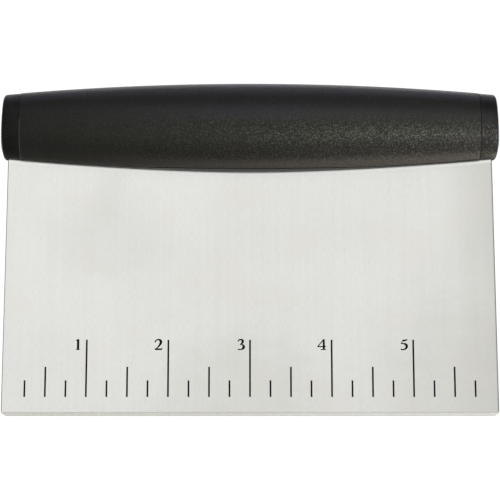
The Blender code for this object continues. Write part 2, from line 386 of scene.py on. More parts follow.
@dataclass(frozen=True)
class BlackGrain(Finish):
    """What the black finishes of the handle share: a grain of which single cells shine."""

    grain_mm: float = 0.21
    dull_share: float = 0.58
    sheen: float = 0.14
    sheen_gain: float = 0.0008
    least_unevenness: float = 0.12
    most_unevenness: float = 0.92
    sheen_loss: float = 0.8
    roughness: float = 0.36
    roughness_swing: float = 0.08
    roughening: float = 0.5
    specular: float = 0.05
    coat_roughness: float = 0.36

    def glint(self, graph: Graph, place: Shade) -> Shade:
        """How strongly each cell shines, which is the sheen on average and grows to the right.

        The cells are nearly alike above and at the left. To the right, and below the widest
        line, a share of them stays dull and the others shine the more for it.

        Args:
            graph: The material's graph.
            place: The point in millimetres.

        Returns:
            The weight of the sheen.
        """
        across, _, up = graph.split(place)
        front = up.ease(94.6, 89.6) * (0.55 + 0.45 * up.ease(78.0, 84.0))
        growth = self.most_unevenness - self.least_unevenness
        uneven = self.least_unevenness + growth * across.ease(-96.0, 10.0) * front
        cell = graph.cells(place, self.grain_mm, output="Color").ease(self.dull_share, 1.0)
        glint = 1 + uneven * (cell * (2 / (1 - self.dull_share)) - 1)
        trend = across * (1 - up.ease(94.0, 97.0) * up.ease(102.0, 99.0))
        sheen = self.sheen + trend * self.sheen_gain
        return glint * sheen * (1 - self.dullness(graph, place) * self.sheen_loss)

    def dullness(self, graph: Graph, place: Shade) -> Shade:
        """How dull the rear of the underside is, from 0 to 1, as grazing light would glare there."""
        _, along, up = graph.split(place)
        return along.ease(0.0, 3.0) * up.ease(89.0, 85.0)

    def coated(self, graph: Graph, place: Shade, colour: Shade, roughness: Shade, normal: Shade) -> Shade:
        """The shader of a black surface under the grain, with less sheen where it is dull.

        Args:
            graph: The material's graph.
            place: The point in millimetres.
            colour: The surface's colour.
            roughness: Its roughness where it isn't dull.
            normal: Its normal.

        Returns:
            The shader.
        """
        return graph.shader(
            {
                "Base Color": colour,
                "Roughness": roughness + self.dullness(graph, place) * self.roughening,
                "Specular IOR Level": self.specular,
                "Coat Weight": self.glint(graph, place),
                "Coat Roughness": self.coat_roughness,
                "Normal": normal,
            }
        )


@dataclass(frozen=True)
class SoftRubber(BlackGrain):
    """Matte black rubber with a fine pebbled grain."""

    name: str = "soft_rubber"
    deep: Colour = (0.0030, 0.0032, 0.0026)
    raised: Colour = (0.0090, 0.0092, 0.0080)
    # Painted highlight: the paler colour painted on the lower part of the grip's left end edge.
    painted_edge_highlight: Colour = (0.022, 0.022, 0.020)
    # Painted bounce light: the paler colour painted along the underside's lowest band.
    painted_bounce_light: Colour = (0.0140, 0.0130, 0.0118)
    fuzz: Pattern = Pattern((0.3, 0.3, 0.3), 2.0, 2.0)
    clouds: Pattern = Pattern((9.0, 9.0, 9.0), 3.0, 4.0)
    lowest_mm: float = 77.5
    rise_mm: float = 3.8
    bow: float = 1.65
    seam_mm: float = 72.95
    specular: float = 0.075
    coat_roughness: float = 0.35
    tint_roughness: float = 0.04
    fuzz_share: float = 0.6
    pebble_depth: float = 0.046 * MM

    def dress(self, graph: Graph) -> Shade:
        """Pebbles over a slow unevenness, a painted highlight on the left end's lip, painted bounce light
        underneath.

        Args:
            graph: The material's graph.

        Returns:
            The shader.
        """
        place = graph.place()
        across, _, up = graph.split(place)
        pebbles = 1 - graph.cells(place, self.grain_mm)
        tint = graph.cells(place, self.grain_mm, output="Color")
        fuzz, clouds = graph.noise(place, self.fuzz), graph.noise(place, self.clouds)
        tone = (tint * 0.8 + clouds * 0.3 - 0.15).ease(0.3, 1.0)
        colour = graph.blend(tone, self.deep, self.raised)
        # Painted highlight: the lower part of the grip's left end edge is painted paler, as if it caught
        # light.
        lip = across.ease(-72.4, -72.75) * up.ease(94.5, 91.5)
        above = up - self.lowest_mm - self.rise_mm * (abs(across) / self.seam_mm) ** self.bow
        # Painted bounce light: the underside is painted paler within a few millimetres of its lowest line,
        # fading out towards the left end.
        bounce_light_share = above.ease(3.4, 0.4) * across.ease(-66.0, 0.0)
        colour = graph.blend(bounce_light_share * (0.7 + tint * 0.6), colour, self.painted_bounce_light)
        colour = graph.blend(lip * (0.6 + fuzz * 0.6), colour, self.painted_edge_highlight)
        roughness = self.roughness + (clouds - 0.5) * self.roughness_swing + tint * self.tint_roughness
        normal = graph.bump(pebbles + fuzz * self.fuzz_share, self.pebble_depth)
        return self.coated(graph, place, colour, roughness, normal)


@dataclass(frozen=True)
class CapPlastic(BlackGrain):
    """Black satin plastic, smoother than the grip."""

    name: str = "cap_plastic"
    deep: Colour = (0.0016, 0.0017, 0.0015)
    raised: Colour = (0.0044, 0.0045, 0.0042)
    sheen: float = 0.13
    sheen_gain: float = 0.00125
    grain: Pattern = Pattern((0.3, 0.3, 0.3), 2.0, 1.0)
    clouds: Pattern = Pattern((5.0, 5.0, 5.0), 2.0, 8.0)
    grain_depth: float = 0.14 * MM

    def dress(self, graph: Graph) -> Shade:
        """A fine even grain with slow shifts of sheen.

        Args:
            graph: The material's graph.

        Returns:
            The shader.
        """
        place = graph.place()
        grain, clouds = graph.noise(place, self.grain), graph.noise(place, self.clouds)
        colour = graph.blend((grain + clouds - 0.5).ease(0.2, 0.8), self.deep, self.raised)
        roughness = self.roughness + (clouds + grain - 1) * self.roughness_swing
        return self.coated(graph, place, colour, roughness, graph.bump(grain, self.grain_depth))


@dataclass(frozen=True)
class CorePlastic(Finish):
    """The rigid plastic of the core, moulded plain."""

    name: str = "core_plastic"
    deep: Colour = (0.014, 0.0145, 0.0145)
    raised: Colour = (0.026, 0.027, 0.027)
    flow: Pattern = Pattern((14.0, 2.0, 2.0), 3.0)
    grain: Pattern = Pattern((0.2, 0.2, 0.2), 2.0, 6.0)
    roughness: float = 0.42
    flow_swing: float = 0.2
    grain_swing: float = 0.1
    grain_depth: float = 0.008 * MM

    def dress(self, graph: Graph) -> Shade:
        """Faint flow marks along the handle on a fine even grain.

        Args:
            graph: The material's graph.

        Returns:
            The shader.
        """
        place = graph.place()
        flow, grain = graph.noise(place, self.flow), graph.noise(place, self.grain)
        roughness = self.roughness + (flow - 0.5) * self.flow_swing + (grain - 0.5) * self.grain_swing
        return graph.shader(
            {
                "Base Color": graph.blend(flow.ease(0.3, 0.7), self.deep, self.raised),
                "Roughness": roughness,
                "Normal": graph.bump(grain, self.grain_depth, 0.5),
            }
        )


@dataclass(frozen=True)
class PinSteel(Finish):
    """Plain drawn steel wire."""

    name: str = "pin_steel"
    light: Colour = (0.66, 0.66, 0.66)
    shade: Colour = (0.46, 0.46, 0.46)
    lines: Pattern = Pattern((0.15, 5.0, 0.15))
    roughness: float = 0.3
    roughness_swing: float = 0.2
    line_depth: float = 0.003 * MM

    def dress(self, graph: Graph) -> Shade:
        """Fine lines along the pin, which lies along Y.

        Args:
            graph: The material's graph.

        Returns:
            The shader.
        """
        lines = graph.noise(graph.place(), self.lines)
        return graph.shader(
            {
                "Base Color": graph.blend(lines.ease(0.3, 0.7), self.shade, self.light),
                "Metallic": 1.0,
                "Roughness": self.roughness + lines * self.roughness_swing,
                "Normal": graph.bump(lines, self.line_depth, 0.5),
            }
        )


@dataclass(frozen=True)
class PaleFloor(Finish):
    """A pale matte floor that can be looked through from below."""

    name: str = "pale_floor"
    light: Colour = (0.86, 0.86, 0.85)
    shade: Colour = (0.82, 0.82, 0.81)
    clouds: Pattern = Pattern((120.0, 120.0, 120.0), 3.0)
    roughness: float = 0.85
    specular: float = 0.1

    def dress(self, graph: Graph) -> Shade:
        """Slow cloudy shifts of a pale grey. Its underside lets everything through.

        Args:
            graph: The material's graph.

        Returns:
            The shader.
        """
        colour = graph.blend(graph.noise(graph.place(), self.clouds), self.shade, self.light)
        values = {"Base Color": colour, "Roughness": self.roughness, "Specular IOR Level": self.specular}
        solid = graph.shader(values)
        below = graph.node("ShaderNodeNewGeometry", output="Backfacing")
        clear = graph.node("ShaderNodeBsdfTransparent")
        return graph.node("ShaderNodeMixShader", None, {0: below, 1: solid, 2: clear})


def points_at(x: float | Array, y: Array, z: Array) -> Array:
    """The points of a grid, from coordinates that are each spread over the whole grid."""
    return np.stack(np.broadcast_arrays(x, y, z), axis=-1)


def grid_faces(rows: int, columns: int) -> Array:
    """The quads between rows of points, of which each row is a closed ring.

    Args:
        rows: How many rows there are.
        columns: How many points each row has.

    Returns:
        Four point numbers for each quad.
    """
    row = np.arange(rows - 1)[:, None] * columns
    column = np.arange(columns)[None, :]
    following = (column + 1) % columns
    quads = (row + column, row + following, row + columns + following, row + columns + column)
    return np.stack(quads, axis=-1).reshape(-1, 4)


def quarter_circle(radius: float | Array, steps: int) -> tuple[Array, Array]:
    """How far a quarter circle has risen from its foot at each step, and how far in from its side."""
    turn = np.linspace(0, math.pi / 2, steps)
    return radius * (1 - np.cos(turn)), radius * (1 - np.sin(turn))


def loft(rings: Array, split_ends: bool = False) -> tuple[Array, list[list[int]]]:
    """Skins rings of points into one closed body.

    Args:
        rings: The points, as an array of rings by points by 3.
        split_ends: Closes each end by a strip across it, from each point of the ring's first
            half to its mirror in the second half, instead of by one face.

    Returns:
        The points in one list and the faces.
    """
    rows, columns, _ = rings.shape
    faces = grid_faces(rows, columns).tolist()
    for first in (0, (rows - 1) * columns):
        if split_ends:
            step = np.arange(columns // 2 - 1)
            strip = (step, step + 1, columns - 2 - step, columns - 1 - step)
            faces += (np.stack(strip, axis=-1) + first).tolist()
        else:
            faces.append((np.arange(columns) + first).tolist())
    return rings.reshape(-1, 3), faces


def linked(name: str, data: bpy.types.ID) -> bpy.types.Object:
    """Makes an object of its data and links it to the scene.

    Args:
        name: The object's name.
        data: Its mesh, light or camera.

    Returns:
        The object.
    """
    made = bpy.data.objects.new(name, data)
    bpy.context.scene.collection.objects.link(made)
    return made


def skin(
    name: str,
    bodies: Sequence[Array],
    finish: bpy.types.Material | None = None,
    split_ends: bool = False,
) -> bpy.types.Object:
    """Makes an object of closed bodies, with its faces pointing out.

    Args:
        name: The object's name.
        bodies: The rings of points that each body is lofted from.
        finish: Its material, if it gets one.
        split_ends: Whether the bodies' ends are closed by strips.

    Returns:
        The object.
    """
    points, faces = [], []
    for rings in bodies:
        start = sum(len(part) for part in points)
        body_points, body_faces = loft(rings, split_ends)
        points.append(body_points)
        faces += [[start + corner for corner in face] for face in body_faces]
    mesh = bpy.data.meshes.new(name)
    mesh.from_pydata(np.concatenate(points), [], faces)
    turned = bmesh.new()
    turned.from_mesh(mesh)
    bmesh.ops.recalc_face_normals(turned, faces=turned.faces)
    turned.to_mesh(mesh)
    turned.free()
    mesh.shade_smooth()
    mesh.set_sharp_from_angle(angle=SHARP_ANGLE)
    if finish:
        mesh.materials.append(finish)
    return linked(name, mesh)


def carve(piece: bpy.types.Object, cutter: bpy.types.Object) -> None:
    """Takes the cutter's room out of a piece for good, and removes the cutter.

    Args:
        piece: The object to cut.
        cutter: The closed object that is taken away.
    """
    modifier = piece.modifiers.new("carve", "BOOLEAN")
    modifier.operation = "DIFFERENCE"
    modifier.solver = "EXACT"
    modifier.object = cutter
    evaluated = piece.evaluated_get(bpy.context.evaluated_depsgraph_get())
    mesh = bpy.data.meshes.new_from_object(evaluated)
    piece.modifiers.clear()
    piece.data = mesh
    mesh.name = piece.name
    mesh.set_sharp_from_angle(angle=SHARP_ANGLE)
    bpy.data.objects.remove(cutter)


def settle(piece: bpy.types.Object, slot: str, *nodes: str) -> None:
    """Hands a finished piece over: it rides with the part and stands for its solids.

    Args:
        piece: The object.
        slot: The record's material slot that its finish belongs to; it is not used.
        nodes: The solids that it stands for.
    """
    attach(piece, BODY)
    if nodes:
        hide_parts(*nodes)
    log.info("%s: %d faces, stands for %s", piece.name, len(piece.data.polygons), nodes or "no solid")


@dataclass(frozen=True)
class HandleForm:
    """The barrel handle's sizes and curves, which are those of its solids."""

    underside: float = 77.5 * MM
    height: float = 29.0 * MM
    thickness: float = 22.0 * MM
    end_thickness: float = 17.4 * MM
    crown_drop: float = 3.05 * MM
    underside_rise: float = 3.8 * MM
    half_length: float = 79.3 * MM
    cap_length: float = 6.35 * MM
    crown_bow: float = 2.0
    underside_bow: float = 1.65
    thickness_bow: float = 2.0
    crown_fullness: float = 2.1
    underside_fullness: float = 2.25
    widest_share: float = 0.46
    grip_wall: float = 2.2 * MM
    keel_wall_middle: float = 2.3 * MM
    keel_wall_end: float = 0.6 * MM
    keel_reach: float = 56.0 * MM
    sheet_clearance: float = 0.75 * MM
    gap: float = 0.3 * MM

    @property
    def seam(self) -> float:
        """How far from the middle the seams of the caps are."""
        return self.half_length - self.cap_length

    def share(self, x: Array, power: float) -> Array:
        """How far the handle has bent away: the distance from its middle over the seam's, to a power."""
        return (np.abs(x) / self.seam) ** power

    def crown(self, x: Array) -> Array:
        """Height of the top line: level in the middle, and lower by the drop's share outwards."""
        return self.underside + self.height - self.crown_drop * self.share(x, self.crown_bow)

    def lowest(self, x: Array) -> Array:
        """Height of the lowest line: it rises outwards by its share."""
        return self.underside + self.underside_rise * self.share(x, self.underside_bow)

    def widest(self, x: Array) -> Array:
        """Height of the widest line: a fixed share of the section's height below the top."""
        return self.crown(x) - self.widest_share * (self.crown(x) - self.lowest(x))

    def half(self, x: Array) -> Array:
        """Half of the thickness: it thins outwards by its share."""
        taper = (self.thickness - self.end_thickness) / 2
        return self.thickness / 2 - taper * self.share(x, self.thickness_bow)

    def section(self, x: Array, inset: Array, angle: Array) -> Array:
        """Points of the oval section.

        Across, a point lies at the half thickness times the cosine, and up at the reach times
        the sine, both drawn outwards by a power of 2 over the fullness, with their signs kept.

        Args:
            x: The places along the handle.
            inset: How far in from the surface.
            angle: From 0 at the rear over a quarter turn at the top.

        Returns:
            The points, with a last axis of 3.
        """
        x, inset, angle = np.broadcast_arrays(x, inset, angle)
        cosine, sine = np.cos(angle), np.sin(angle)
        widest = self.widest(x)
        above = self.crown(x) - inset - widest
        below = widest - self.lowest(x) - inset
        reach = np.where(sine >= 0, above, below)
        power = np.where(sine >= 0, 2 / self.crown_fullness, 2 / self.underside_fullness)
        y = np.sign(cosine) * np.abs(cosine) ** power * (self.half(x) - inset)
        z = widest + np.sign(sine) * np.abs(sine) ** power * reach
        return points_at(x, y, z)

    def angle_at(self, x: Array, inset: Array, y: Array) -> Array:
        """The angle below the widest line at which the section lies y off the middle."""
        return np.arccos((y / (self.half(x) - inset)) ** (self.underside_fullness / 2))

    def keel(self, x: Array) -> Array:
        """Half width of the keel: a lens that swells by the squared cosine over its reach.

        Args:
            x: The places along the handle.

        Returns:
            The half widths.
        """
        swell = np.cos(np.clip(np.abs(x) / self.keel_reach, 0, 1) * math.pi / 2) ** 2
        wall = self.keel_wall_end + (self.keel_wall_middle - self.keel_wall_end) * swell
        return self.sheet_clearance + wall


@dataclass
class Blade:
    """The steel sheet: rounded rims, a ground lower edge and three pin holes in its tang."""

    width: float = 154.0 * MM
    thickness: float = 0.9 * MM
    corner: float = 1.8 * MM
    bevel: float = 1.0 * MM
    land: float = 0.4 * MM
    tang_top: float = 92.5 * MM
    tang_corner: float = 3.0 * MM
    rim_radius: float = 0.25 * MM
    rim_share: float = 0.8
    rim_steps: int = 6
    corner_steps: int = 14
    rows: int = 40
    columns: int = 47
    pin_hole: float = 2.3 * MM
    pin_x: float = 49.95 * MM
    pin_z: float = 87.7 * MM
    pin_steps: int = 48

    def _heights(self) -> Array:
        """Heights of the sheet's rows: close together round the corners and at the bevel.

        Returns:
            The heights, from the lowest to the highest.
        """
        low, _ = quarter_circle(self.corner, self.corner_steps)
        _, back = quarter_circle(self.tang_corner, self.corner_steps)
        bevel = self.bevel + np.array([-0.1, -0.05, 0.0, 0.05, 0.1]) * MM
        middle = np.linspace(self.corner + 1 * MM, self.tang_top - self.tang_corner - 1 * MM, self.rows)
        return np.unique(np.concatenate((low, bevel, middle, self.tang_top - back)).round(8))

    def _half_widths(self, z: Array) -> Array:
        """Half width at a height: the full one, less a quarter circle at each corner.

        Args:
            z: The heights.

        Returns:
            The half widths.
        """
        low = np.clip(self.corner - z, 0, self.corner)
        high = np.clip(z - (self.tang_top - self.tang_corner), 0, self.tang_corner)
        corners = np.sqrt(self.corner**2 - low**2) + np.sqrt(self.tang_corner**2 - high**2)
        return self.width / 2 - self.corner - self.tang_corner + corners

    def _half_thicknesses(self, z: Array) -> Array:
        """Half thickness at a height: it grows evenly from the land to the top of the bevel."""
        share = np.clip(z / self.bevel, 0, 1)
        return (self.land + (self.thickness - self.land) * share) / 2

    def build(self, finish: bpy.types.Material) -> bpy.types.Object:
        """Lofts level slices up the sheet.

        A slice is a long rectangle with rounded corners: its front runs from side to side, and
        each side turns by a quarter circle into the front and into the rear.

        Args:
            finish: The steel.

        Returns:
            The sheet.
        """
        z = self._heights()[:, None]
        half, deep = self._half_widths(z), self._half_thicknesses(z)
        rim = np.minimum(self.rim_radius, deep * self.rim_share)
        rise, inset = quarter_circle(rim, self.rim_steps)
        out, depth = half - inset, deep - rise
        along = np.linspace(-1, 1, self.columns + 2)[1:-1]
        front_x = np.concatenate((-out[:, ::-1], along * (half - rim), out), axis=1)
        front_y = -np.concatenate((depth[:, ::-1], deep * np.ones_like(along), depth), axis=1)
        x = np.concatenate((front_x, front_x[:, ::-1]), axis=1)
        y = np.concatenate((front_y, -front_y[:, ::-1]), axis=1)
        sheet = skin("steel_blade", [points_at(x, y, z)], finish, split_ends=True)
        carve(sheet, self._pin_cutter())
        return sheet

    def _pin_cutter(self) -> bpy.types.Object:
        """Three rods across the sheet: a circle about each pin's axis, carried along Y.

        Returns:
            The rods.
        """
        turn = np.linspace(0, math.tau, self.pin_steps + 1)[:-1]
        y = np.array([-CUTTER_REACH, CUTTER_REACH])[:, None]
        x, z = self.pin_hole * np.cos(turn), self.pin_z + self.pin_hole * np.sin(turn)
        rods = [points_at(middle + x, y, z) for middle in (-self.pin_x, 0.0, self.pin_x)]
        return skin("pin_cutter", rods)


class Mark(Enum):
    """The lengths of the ruler's marks, by the height of their tops."""

    INCH = 23.72 * MM
    HALF = 15.22 * MM
    QUARTER = 10.98 * MM


# Strokes of the numerals as (across, up, width) at points along them, in numeral heights
NUMERALS: dict[int, tuple[tuple[Triple, ...], ...]] = {
    1: (
        ((0.20, 1.00, 0.08), (0.20, 0.90, 0.16), (0.20, 0.50, 0.165), (0.20, 0.12, 0.17), (0.20, 0.01, 0.25)),
        ((0.00, 0.855, 0.04), (0.11, 0.895, 0.08), (0.25, 0.985, 0.06)),
        ((0.00, 0.018, 0.036), (0.40, 0.018, 0.036)),
    ),
    2: (
        (
            (0.055, 0.70, 0.11), (0.11, 0.845, 0.09), (0.31, 0.945, 0.10), (0.52, 0.89, 0.16),
            (0.59, 0.71, 0.19), (0.50, 0.48, 0.14), (0.29, 0.23, 0.085), (0.10, 0.05, 0.06),
        ),
        ((0.03, 0.055, 0.11), (0.35, 0.06, 0.12), (0.68, 0.06, 0.11)),
        ((0.64, 0.05, 0.07), (0.70, 0.12, 0.055), (0.735, 0.19, 0.03)),
    ),
    3: (
        (
            (0.045, 0.79, 0.09), (0.16, 0.925, 0.09), (0.34, 0.95, 0.11), (0.475, 0.85, 0.165),
            (0.46, 0.69, 0.155), (0.35, 0.57, 0.08), (0.22, 0.50, 0.045),
        ),
        (
            (0.22, 0.50, 0.045), (0.43, 0.485, 0.09), (0.56, 0.34, 0.175), (0.53, 0.16, 0.175),
            (0.35, 0.045, 0.09), (0.14, 0.03, 0.075), (0.035, 0.065, 0.11),
        ),
    ),
    4: (
        ((0.60, 0.97, 0.08), (0.32, 0.64, 0.07), (0.035, 0.315, 0.07)),
        ((0.01, 0.305, 0.08), (0.795, 0.305, 0.08)),
        ((0.60, 0.995, 0.13), (0.60, 0.60, 0.15), (0.60, 0.10, 0.15), (0.60, 0.01, 0.23)),
        ((0.32, 0.025, 0.06), (0.80, 0.025, 0.06)),
    ),
    5: (
        ((0.215, 0.865, 0.13), (0.45, 0.88, 0.12), (0.65, 0.965, 0.06)),
        ((0.245, 0.87, 0.06), (0.15, 0.73, 0.06), (0.06, 0.575, 0.07)),
        (
            (0.055, 0.575, 0.05), (0.30, 0.585, 0.10), (0.53, 0.47, 0.175), (0.575, 0.27, 0.175),
            (0.44, 0.09, 0.11), (0.22, 0.02, 0.08), (0.035, 0.06, 0.12),
        ),
    ),
}


@dataclass
class Ruler:
    """The ruler etched into the front of the blade: quarter-inch marks and five numerals."""

    face: float = -0.45 * MM
    pitch: float = 6.35 * MM
    count: int = 23
    foot: float = 5.80 * MM
    mark_width: float = 0.55 * MM
    mark_corner: float = 0.1 * MM
    corner_steps: int = 4
    relief: float = 0.012 * MM
    stroke_lift: float = 0.1
    numeral_foot: float = 20.53 * MM
    numeral_height: float = 3.39 * MM
    numeral_steps: int = 12
    numeral_weight: float = 1.3
    numeral_middles: tuple[float, ...] = (-2.70 * MM, -3.08 * MM, -2.94 * MM, -3.10 * MM, -2.88 * MM)

    def _x(self, number: int) -> float:
        """Where a quarter inch lies, counted from 1 at the left so that the middle one is at 0."""
        return (number - (self.count + 1) / 2) * self.pitch

    @staticmethod
    def _curve(points: Array, steps: int) -> Array:
        """A smooth curve through points.

        Between two points it is the cubic that leaves each of them along the line between its
        neighbours, which is a Catmull-Rom curve. The widths follow the same curve.

        Args:
            points: The points with their widths, as rows.
            steps: How many steps there are between two points.

        Returns:
            The rows of the curve.
        """
        last = len(points) - 1
        place = np.linspace(0, last, last * steps + 1)
        first = np.clip(place.astype(int), 0, last - 1)
        t = (place - first)[:, None]
        before, here = points[np.clip(first - 1, 0, last)], points[first]
        after, beyond = points[first + 1], points[np.clip(first + 2, 0, last)]
        return 0.5 * (
            2 * here
            + (after - before) * t
            + (2 * before - 5 * here + 4 * after - beyond) * t**2
            + (3 * here - before - 3 * after + beyond) * t**3
        )

    def _stroke(self, curve: Array, relief: float) -> Array:
        """A low flat stroke on the blade's face.

        Its cross-section is a strip with slanted sides, set square to the curve, as wide as the
        curve says there.

        Args:
            curve: Rows of x, z and width.
            relief: How far the stroke stands out of the face.

        Returns:
            The rings of the stroke.
        """
        slope = np.gradient(curve[:, :2], axis=0)
        slope /= np.linalg.norm(slope, axis=1)[:, None]
        side = np.stack((-slope[:, 1], slope[:, 0]), axis=-1)
        across = np.array([-0.5, -0.46, 0.46, 0.5, 0.5, -0.5])
        lift = np.array([0.4, 1.0, 1.0, 0.4, -1.0, -1.0]) * relief
        offset = side[:, None, :] * (curve[:, 2:3] * across)[..., None]
        flat = curve[:, None, :2] + offset
        return points_at(flat[..., 0], self.face - lift, flat[..., 1])

    def _mark(self, number: int) -> Array:
        """One upright mark: its width closes at both ends by a small quarter circle.

        Args:
            number: Which quarter inch it is, counted from 1 at the left.

        Returns:
            The rings of the mark.
        """
        kind = {0: Mark.INCH, 2: Mark.HALF}.get(number % 4, Mark.QUARTER)
        rise, inset = quarter_circle(self.mark_corner, self.corner_steps)
        z = np.concatenate((self.foot + rise, (kind.value - rise)[::-1]))
        width = self.mark_width - 2 * np.concatenate((inset, inset[::-1]))
        return self._stroke(points_at(self._x(number), z, width), self.relief)

    def build_marks(self, finish: bpy.types.Material) -> bpy.types.Object:
        """Makes all the marks as one piece."""
        return skin("ruler_marks", [self._mark(number) for number in range(1, self.count + 1)], finish)

    def build_numerals(self, finish: bpy.types.Material) -> bpy.types.Object:
        """Makes the numerals, each of a few strokes to the left of its inch mark.

        Each further stroke of a numeral stands out a little more, so that none of them share a
        face where they cross.

        Args:
            finish: The etched finish.

        Returns:
            The numerals.
        """
        bodies = []
        for number, strokes in NUMERALS.items():
            reach = max(point[0] for stroke in strokes for point in stroke)
            left = self._x(4 * number) + self.numeral_middles[number - 1] - reach / 2 * self.numeral_height
            for order, stroke in enumerate(strokes):
                points = np.array(stroke) * self.numeral_height
                points[:, 2] *= self.numeral_weight
                points[:, :2] += (left, self.numeral_foot)
                curve = self._curve(points, self.numeral_steps)
                bodies.append(self._stroke(curve, self.relief * (1 + self.stroke_lift * order)))
        return skin("ruler_numerals", bodies, finish)


@dataclass
class SoftGrip:
    """The soft sleeve of the handle, open below for the keel, with softly rounded lips."""

    form: HandleForm
    stations: int = 150
    steps: int = 120
    left_gap: float = 0.03 * MM
    right_gap: float = 0.07 * MM
    keel_gap: float = 0.14 * MM
    lip_radius: float = 0.12 * MM
    lip_steps: int = 6
    end_radius: float = 0.12 * MM
    end_steps: int = 7
    end_stretch: float = 0.3 * MM

    def _stations(self) -> Array:
        """Places along the grip: even, and close together round its two ends.

        Returns:
            The places, from left to right.
        """
        _, back = quarter_circle(self.end_radius, self.end_steps)
        left, right = self.form.seam - self.left_gap, self.form.seam - self.right_gap
        inner = np.linspace(-1, 1, self.stations) * (right - self.end_radius - self.end_stretch)
        return np.concatenate((-(left - back)[::-1], inner, right - back))

    def _end_inset(self, x: Array) -> Array:
        """How far a rounded end draws the surface in: a quarter circle over the last stretch.

        Args:
            x: The places along the grip.

        Returns:
            The insets.
        """
        gap = np.where(x < 0, self.left_gap, self.right_gap)
        past = np.clip(np.abs(x) - (self.form.seam - gap - self.end_radius), 0, self.end_radius)
        return self.end_radius - np.sqrt(self.end_radius**2 - past**2)

    def build(self, finish: bpy.types.Material) -> bpy.types.Object:
        """Lofts the wall's rings along the handle.

        A ring runs round one lip, over the outside to the other lip, and back on the inside. A
        lip is a quarter circle from the outer surface to the upright face of the opening.

        Args:
            finish: The rubber.

        Returns:
            The grip.
        """
        form = self.form
        x = self._stations()[:, None]
        inset = self._end_inset(x)
        opening = form.keel(x) + form.gap + self.keel_gap
        rise, side = quarter_circle(self.lip_radius, self.lip_steps)
        lip_y = opening + side[:0:-1]
        lip_z = form.section(x, inset, -form.angle_at(x, inset, lip_y))[..., 2] + rise[:0:-1]
        lip = points_at(x, lip_y, lip_z)
        start = form.angle_at(x, inset, opening + self.lip_radius)
        sweep = np.linspace(0, 1, self.steps)[None, :]
        outside = form.section(x, inset, -start + (math.pi + 2 * start) * sweep)
        mirror = np.array([1.0, -1.0, 1.0])
        outer = np.concatenate((lip, outside, lip[:, ::-1] * mirror), axis=1)
        wall = form.grip_wall
        back = form.angle_at(x, wall, opening)
        sweep = np.linspace(0, 1, outer.shape[1])[None, :]
        inner = form.section(x, wall, -back + (math.pi + 2 * back) * sweep)
        rings = np.concatenate((outer, inner[:, ::-1]), axis=1)
        return skin("grip_sleeve", [rings], finish, split_ends=True)


class End(Enum):
    """The two ends of the handle."""

    LEFT = -1
    RIGHT = 1


